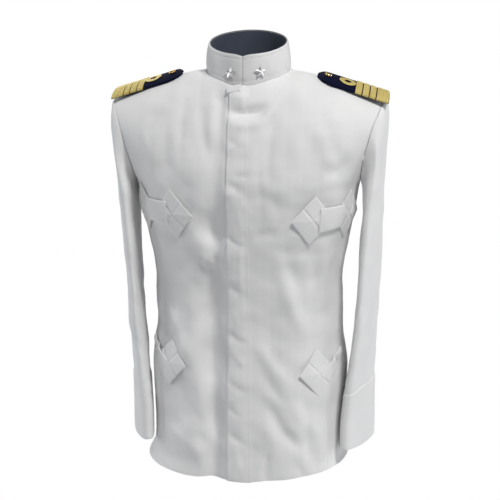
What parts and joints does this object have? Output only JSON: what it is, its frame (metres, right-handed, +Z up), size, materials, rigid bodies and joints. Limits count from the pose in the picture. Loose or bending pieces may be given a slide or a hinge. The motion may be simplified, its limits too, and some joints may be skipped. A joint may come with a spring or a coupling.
{
  "type": "naval full dress tunic",
  "caption": "White stand-collar naval full dress tunic, worn shape and hollow, with hidden fly, diamond-end pockets, plain cuffs and navy shoulder boards with gold lace.",
  "frame": {"origin": "on the neck's axis at the height where the shoulder seams meet the collar, where the wearer's shoulders carry the garment", "axes": "-Y is the way the garment faces, +X the wearer's left side, +Z up"},
  "size_m": [0.4641, 0.2492, 0.7458],
  "materials": {
    "white_cloth": "matte",
    "dark_lining": "matte",
    "navy_cloth": "matte",
    "gold_lace": "metallic thread",
    "gilt_metal": "polished",
    "silver_metal": "polished"
  },
  "bodies": {
    "root": {"back_left": "white_cloth", "back_right": "white_cloth", "band_broad_left": "gold_lace", "band_broad_right": "gold_lace", "band_inner_left": "gold_lace", "band_inner_right": "gold_lace", "band_middle_left": "gold_lace", "band_middle_right": "gold_lace", "band_outer_left": "gold_lace", "band_outer_right": "gold_lace", "board_left": "navy_cloth", "board_right": "navy_cloth", "button_left": "gilt_metal", "button_right": "gilt_metal", "chest_diamond_inner_left": "white_cloth", "chest_diamond_inner_right": "white_cloth", "chest_diamond_outer_left": "white_cloth", "chest_diamond_outer_right": "white_cloth", "chest_welt_left": "white_cloth", "chest_welt_right": "white_cloth", "collar": "white_cloth", "collar_lining": "dark_lining", "cuff_left": "white_cloth", "cuff_right": "white_cloth", "curl_left": "gold_lace", "curl_right": "gold_lace", "front_left": "white_cloth", "front_right": "white_cloth", "hip_diamond_left": "white_cloth", "hip_diamond_right": "white_cloth", "hip_welt_left": "white_cloth", "hip_welt_right": "white_cloth", "placket": "white_cloth", "side_left": "white_cloth", "side_right": "white_cloth", "sleeve_under_left": "white_cloth", "sleeve_under_right": "white_cloth", "sleeve_upper_left": "white_cloth", "sleeve_upper_right": "white_cloth", "star_left": "silver_metal", "star_right": "silver_metal"}
  },
  "joints": []
}
